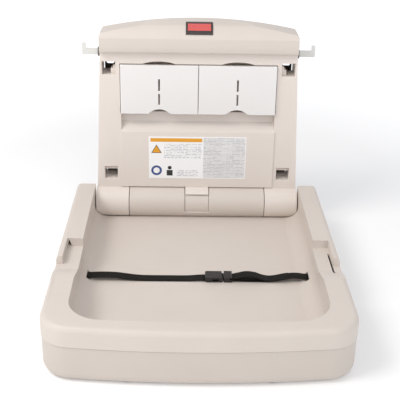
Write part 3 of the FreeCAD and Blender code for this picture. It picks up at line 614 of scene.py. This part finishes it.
# ------------------------------------------------------------------------------------------
# Mouldings that follow the part's own solids
# ------------------------------------------------------------------------------------------
@dataclass
class Mouldings:
    """Plastic and sheet pieces whose solids are right, with their edges eased as made."""

    eased_mm: dict[str, float] = field(default_factory=lambda: {
        "wall_panel": 1.6,
        "header_cover": 1.2,
        "bed_shell": 2.2,
        "base_shell": 1.0,
        "hinge_centre_cover": 0.8,
        "liner_door_left": 0.8,
        "liner_door_right": 0.8,
        "bag_hook_left": 1.1,
        "bag_hook_right": 1.1,
        "hook_collar_left": 0.5,
        "hook_collar_right": 0.5,
        "badge_plate": 0.4,
        "buckle_socket": 0.7,
        "buckle_plug": 0.7,
        "buckle_prong_front": 0.4,
        "buckle_prong_rear": 0.4,
        "back_plate": 0.4,
    })
    crisp_low: Triple = (262, -472, -210)
    crisp_high: Triple = (277, -364, -150)

    def can_ease(self, edge: bmesh.types.BMEdge) -> bool:
        """Whether an edge lies clear of the thin wall beside the slot in the right rim."""
        middle = (edge.verts[0].co + edge.verts[1].co) / 2 / MM
        return not all(
            low < number < high
            for low, number, high in zip(self.crisp_low, middle, self.crisp_high)
        )

    def build(self) -> None:
        """Make one eased piece for each node."""
        for node, radius in self.eased_mm.items():
            shape = eased(welded_copy(node), radius, keep=self.can_ease)
            piece = finished_piece(
                node + "_moulding", shape, finish_of(node), BODY_OF[node])
            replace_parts(weighted(piece), node)
            LOG.info("%s: %d faces", piece.name, len(piece.data.polygons))

    def dress(self) -> None:
        """Give every node of the part its own finish."""
        for node, piece in frame["nodes"].items():
            piece.data.materials.clear()
            piece.data.materials.append(finish_of(node).material())


# ------------------------------------------------------------------------------------------
# Safety strap
# ------------------------------------------------------------------------------------------
@dataclass
class SafetyStrap:
    """Black webbing held in both side walls, with a loose tail and lines of stitching."""

    width: float = 25.0
    thickness: float = 1.6
    out: float = 380.0
    fixed_end: float = 244.0
    kept_share: float = 0.858
    stitch_pitch: float = 3.4
    left: Sequence[Point] = (
        (-254, -224.9), (-238, -224.8), (-226, -224.4), (-212, -223.6), (-198, -223.1),
        (-180, -223.4), (-165, -224.4), (-148, -226.8), (-128, -229.4), (-105, -230.6),
        (-62, -230.7), (-22, -230.5), (2, -228.6), (18, -228),
    )
    right: Sequence[Point] = (
        (68, -228), (84, -229.6), (108, -230.7), (140, -230.5), (160, -228.8), (178, -225),
        (192, -222.7), (206, -222.1), (218, -223.5), (226, -224.5), (240, -224.9), (254, -225),
    )
    tail: Sequence[Point] = (
        (68, -225.1), (82, -221.4), (100, -217.6), (118, -219.4), (134, -225.2), (148, -227.7),
        (162, -226.1), (176, -222.8), (188, -220.6),
    )

    def course(self, points: Sequence[Point], step: float = 2.0) -> list[Point]:
        """Draw a smooth line through points.

        Args:
            points: Across and level, in millimetres.
            step: Spacing of the result.

        Returns:
            Points along the line.
        """
        line = []
        padded = [points[0], *points, points[-1]]
        for before, start, end, after in zip(padded, padded[1:], padded[2:], padded[3:]):
            count = max(2, round(math.dist(start, end) / step))
            for index in range(count):
                t = index / count
                line.append(tuple(
                    0.5 * (2 * b + (c - a) * t + (2 * a - 5 * b + 4 * c - d) * t * t
                           + (3 * b - a - 3 * c + d) * t ** 3)
                    for a, b, c, d in zip(before, start, end, after)
                ))
        line.append(tuple(points[-1]))
        return line

    def webbing(self, name: str, node: str, body: str, points: Sequence[Point],
                shift: float = 0.0) -> bpy.types.Object:
        """Weave one length of strap: a flat, round-edged section drawn along its course.

        Args:
            name: The piece's name.
            node: The node that it stands for.
            body: The body that it rides on.
            points: The lower line, across and level, in millimetres.
            shift: How far the strap is moved towards the wall.

        Returns:
            The new piece.
        """
        line = [(x, z + self.thickness / 2) for x, z in self.course(points)]
        shape = bmesh.new()
        ring = bmesh.ops.create_circle(shape, cap_ends=False, segments=28, radius=1.0)["verts"]
        for vert in ring:
            across, up = vert.co.x, vert.co.y
            vert.co = Vector((
                line[0][0],
                math.copysign(abs(across) ** 0.42, across) * self.width / 2 - self.out + shift,
                math.copysign(abs(up) ** 0.8, up) * self.thickness / 2 + line[0][1],
            )) * MM
        run = {vert: 0.0 for vert in ring}
        edges = list(shape.edges)
        length = 0.0
        slope = 0.0
        for here, there in zip(line, line[1:]):
            length += math.dist(here, there)
            new = bmesh.ops.extrude_edge_only(shape, edges=edges)["geom"]
            verts = [item for item in new if isinstance(item, bmesh.types.BMVert)]
            edges = [item for item in new if isinstance(item, bmesh.types.BMEdge)
                     and all(vert not in run for vert in item.verts)]
            turn = math.atan2(there[1] - here[1], there[0] - here[0])
            centre = Vector((there[0] * MM, 0.0, there[1] * MM))
            bmesh.ops.translate(shape, verts=verts, vec=(
                (there[0] - here[0]) * MM, 0.0, (there[1] - here[1]) * MM))
            bmesh.ops.rotate(shape, verts=verts, cent=centre,
                             matrix=Matrix.Rotation(slope - turn, 3, "Y"))
            slope = turn
            for vert in verts:
                run[vert] = length
        bmesh.ops.holes_fill(shape, edges=[edge for edge in shape.edges if edge.is_boundary])
        bmesh.ops.recalc_face_normals(shape, faces=shape.faces)
        weave = shape.loops.layers.uv.new("weave")
        for face in shape.faces:
            for loop in face.loops:
                loop[weave].uv = (loop.vert.co.y / MM + self.out, run[loop.vert])
        piece = finished_piece(name, shape, Finish.WEBBING, body, 60)
        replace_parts(piece, node)
        LOG.info("%s: %.0f mm of webbing", name, length)
        return piece

    def stitching(self, name: str, body: str, rows: Iterable[tuple[Triple, Triple]]) -> None:
        """Sew rows of short stitches.

        Args:
            name: The piece's name.
            body: The body that it rides on.
            rows: The two ends of each row, in millimetres.
        """
        shape = bmesh.new()
        for start, end in rows:
            one, other = Vector(start), Vector(end)
            count = max(2, round((other - one).length / self.stitch_pitch))
            aim = (other - one).to_track_quat("X", "Z").to_matrix().to_4x4()
            for index in range(count):
                centre = one.lerp(other, (index + 0.5) / count) * MM
                bmesh.ops.create_uvsphere(
                    shape, u_segments=8, v_segments=6, radius=MM,
                    matrix=Matrix.Translation(centre) @ aim @ Matrix.Diagonal((1.25, 0.4, 0.3, 1)),
                )
        finished_piece(name, shape, Finish.THREAD, body, 80)

    def build(self) -> None:
        """Make the three lengths of webbing and their stitching."""
        bed = BODY_OF["strap_left"]
        self.webbing("strap_left_webbing", "strap_left", bed, self.left)
        right = self.webbing("strap_right_webbing", "strap_right", bed, self.right)
        tail = self.webbing("strap_tail_webbing", "strap_tail", bed, self.tail, -3.0)
        for length in (right, tail):
            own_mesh(length)
        self.stitching("strap_left_stitches", bed, [
            ((-26, -self.out + side, -228.9), (-12, -self.out + side, -228.6))
            for side in (-9, -3, 3, 9)
        ])


# ------------------------------------------------------------------------------------------
# Label and badge
# ------------------------------------------------------------------------------------------
@dataclass
class InstructionLabel:
    """A plain printed sheet: an amber bar, a triangle, a ring and rows that say nothing."""

    half: float = 114.0
    foot: float = -139.0
    head: float = -34.0
    front: float = -61.4
    film: float = 0.12
    split: float = 14.0
    margin: float = 4.0
    bar_rise: float = 9.0
    mark_in: float = 14.0

    def print_block(self, name: str, finish: Finish, low: Point, high: Point) -> None:
        """Lay a thin film of print between two corners, given across and up."""
        shape = bmesh.new()
        block(shape, (low[0], self.front - self.film, low[1]),
              (high[0], self.front - 0.005, high[1]))
        finished_piece(name, shape, finish, BODY_OF["instruction_label"])

    def print_ring(self, name: str, finish: Finish, centre: Point, outer: float, inner: float,
                   sides: int, lift: float = 0.0) -> None:
        """Print a ring, or a filled shape if the inner radius is nought.

        Args:
            name: The piece's name.
            finish: The ink.
            centre: Across and up.
            outer: Outer radius.
            inner: Inner radius.
            sides: Number of sides.
            lift: How many film thicknesses it lies above the sheet's other print.
        """
        shape = bmesh.new()
        place = (
            Matrix.Translation(Vector(
                (centre[0], self.front - self.film * (1.6 + lift), centre[1])) * MM)
            @ Matrix.Rotation(math.pi / 2, 4, "X")
        )
        bmesh.ops.create_circle(
            shape, cap_ends=not inner, segments=sides, radius=outer * MM, matrix=place)
        if inner:
            bmesh.ops.create_circle(
                shape, cap_ends=False, segments=sides, radius=inner * MM, matrix=place)
            bmesh.ops.bridge_loops(shape, edges=shape.edges)
        bmesh.ops.recalc_face_normals(shape, faces=shape.faces)
        raised = bmesh.ops.extrude_face_region(shape, geom=shape.faces)["geom"]
        bmesh.ops.translate(
            shape, verts=[item for item in raised if isinstance(item, bmesh.types.BMVert)],
            vec=(0, self.film * (1.5 + lift) * MM, 0))
        bmesh.ops.recalc_face_normals(shape, faces=shape.faces)
        finished_piece(name, shape, finish, BODY_OF["instruction_label"])

    def build(self) -> None:
        """Print the label."""
        low, high = -self.half + self.margin, self.head - self.margin
        column = self.split - self.margin
        mark = low + self.mark_in
        self.print_block("label_amber_bar", Finish.AMBER, (low, high - self.bar_rise),
                         (column + 1, high))
        self.print_block("label_column", Finish.COLUMN,
                         (self.split, self.foot + 2), (self.half - 2, self.head - 2))
        self.print_block("label_rows_top", Finish.LINES, (low + 32, high - 50),
                         (column, high - 14))
        self.print_block("label_rows_foot", Finish.LINES, (low + 62, self.foot + 6),
                         (column - 8, self.foot + 22))
        warning = (mark, high - 30)
        self.print_ring("label_triangle_edge", Finish.BLACK, warning, 14, 0, 3)
        self.print_ring("label_triangle", Finish.AMBER, warning, 11.4, 0, 3, lift=0.8)
        self.print_ring("label_ring", Finish.BLUE, (mark, self.foot + 20), 12.5, 7.5, 40)
        across, up = low + 45, self.foot + 19
        self.print_ring("label_black_ring", Finish.BLACK, (across, up + 8), 4.6, 0, 24)
        self.print_block("label_black_bar", Finish.BLACK, (across - 7, up - 12),
                         (across + 7, up + 2))


@dataclass
class HeaderBadge:
    """A red inset in the charcoal plate on the header."""

    half: float = 25.5
    foot: float = 215.5
    head: float = 227.5
    proud: float = 0.5

    def build(self) -> None:
        """Cut the inset out of the plate's front and raise it a little."""
        shape = welded_copy("badge_plate", 0.01)
        cuts = (
            ((-self.half, 0, 0), (-1, 0, 0)), ((self.half, 0, 0), (1, 0, 0)),
            ((0, 0, self.foot), (0, 0, -1)), ((0, 0, self.head), (0, 0, 1)),
        )
        for place, away in cuts:
            bmesh.ops.bisect_plane(
                shape, geom=shape.verts[:] + shape.edges[:] + shape.faces[:],
                plane_co=Vector(place) * MM, plane_no=away, clear_outer=True)
        inner = [face for face in shape.faces if face.normal.y - face.normal.z > -0.2]
        bmesh.ops.delete(shape, geom=inner, context="FACES")
        bmesh.ops.translate(shape, verts=shape.verts, vec=(0, -0.35 * MM, 0.35 * MM))
        bmesh.ops.solidify(shape, geom=shape.faces[:], thickness=self.proud * MM)
        bmesh.ops.recalc_face_normals(shape, faces=shape.faces)
        finished_piece("badge_inset", shape, Finish.INSET, BODY_OF["badge_plate"])


# ------------------------------------------------------------------------------------------
# Studio
# ------------------------------------------------------------------------------------------
@dataclass(frozen=True)
class Softbox:
    """A square soft light: where it hangs, what it faces, its width, power and colour."""

    name: str
    place: Triple
    aim: Triple
    side: float
    watts: float
    tint: str

    def hang(self) -> None:
        """Add the light to the scene."""
        data = bpy.data.lights.new(self.name, "AREA")
        data.size = self.side
        data.energy = self.watts
        data.color = linear(self.tint)[:3]
        light = bpy.data.objects.new(self.name, data)
        light.location = self.place
        facing = Vector(self.aim) - Vector(self.place)
        light.rotation_euler = facing.to_track_quat("-Z", "Y").to_euler()
        bpy.context.scene.collection.objects.link(light)


@dataclass
class Studio:
    """A pale floor, broad soft lights and the camera."""

    eye: Triple = (-0.0308, -1.9270, 0.6536)
    pitch_deg: float = 24.462
    yaw_deg: float = 1.196
    roll_deg: float = 1.062
    lens_mm: float = 76.64
    sensor_mm: float = 36.0
    floor_gap: float = 0.0004
    room_strength: float = 0.72
    softboxes: Sequence[Softbox] = (
        Softbox("key_softbox", (-1.3, -1.1, 1.75), (0.0, -0.2, 0.0), 1.0, 26, "#FFFBF6"),
        Softbox("front_softbox", (0.5, -2.2, 1.6), (0.0, -0.1, 0.0), 1.4, 8, "#FBFCFF"),
    )

    def camera(self) -> None:
        """Set up the camera that looks down into the bed."""
        data = bpy.data.cameras.new("studio_camera")
        data.lens = self.lens_mm
        data.sensor_width = self.sensor_mm
        data.clip_end = 60
        camera = bpy.data.objects.new("studio_camera", data)
        pitch, yaw, roll = (
            math.radians(angle) for angle in (self.pitch_deg, self.yaw_deg, self.roll_deg))
        ahead = Vector((math.sin(yaw) * math.cos(pitch), math.cos(yaw) * math.cos(pitch),
                        -math.sin(pitch)))
        level = Vector((math.cos(yaw), -math.sin(yaw), 0))
        upright = level.cross(ahead)
        right = math.cos(roll) * level + math.sin(roll) * upright
        up = -math.sin(roll) * level + math.cos(roll) * upright
        turn = Matrix((right, up, -ahead)).transposed().to_4x4()
        camera.matrix_world = Matrix.Translation(self.eye) @ turn
        bpy.context.scene.collection.objects.link(camera)
        bpy.context.scene.camera = camera

    def floor(self) -> None:
        """Lay a pale painted floor just below the table."""
        shape = bmesh.new()
        bmesh.ops.create_grid(shape, x_segments=1, y_segments=1, size=14)
        bmesh.ops.translate(shape, verts=shape.verts, vec=(0, 0, CAD_BOX[0][2] - self.floor_gap))
        mesh = bpy.data.meshes.new("studio_floor")
        shape.to_mesh(mesh)
        shape.free()
        floor = bpy.data.objects.new("studio_floor", mesh)
        bpy.context.scene.collection.objects.link(floor)
        floor.data.materials.append(LitSweep("back_lit_sweep").build())

    def build(self) -> None:
        """Set up the camera, the floor and the lights."""
        self.camera()
        self.floor()
        world = bpy.data.worlds.new("white_room")
        bpy.context.scene.world = world
        world.use_nodes = True
        sky = world.node_tree.nodes["Background"]
        sky.inputs["Color"].default_value = linear("#FBFCFF")
        sky.inputs["Strength"].default_value = self.room_strength
        for softbox in self.softboxes:
            softbox.hang()


def main() -> None:
    """Build the whole scene in order."""
    logging.basicConfig(level=logging.INFO, format="%(name)s: %(message)s")
    bpy.context.scene.view_settings.view_transform = "Standard"
    Studio().build()
    LOG.info("studio ready")
    SafetyStrap().build()
    LOG.info("safety strap ready")
    mouldings = Mouldings()
    mouldings.dress()
    mouldings.build()
    LOG.info("mouldings ready")
    InstructionLabel().build()
    HeaderBadge().build()
    LOG.info("label and badge ready")


if __name__ == "__main__":
    main()
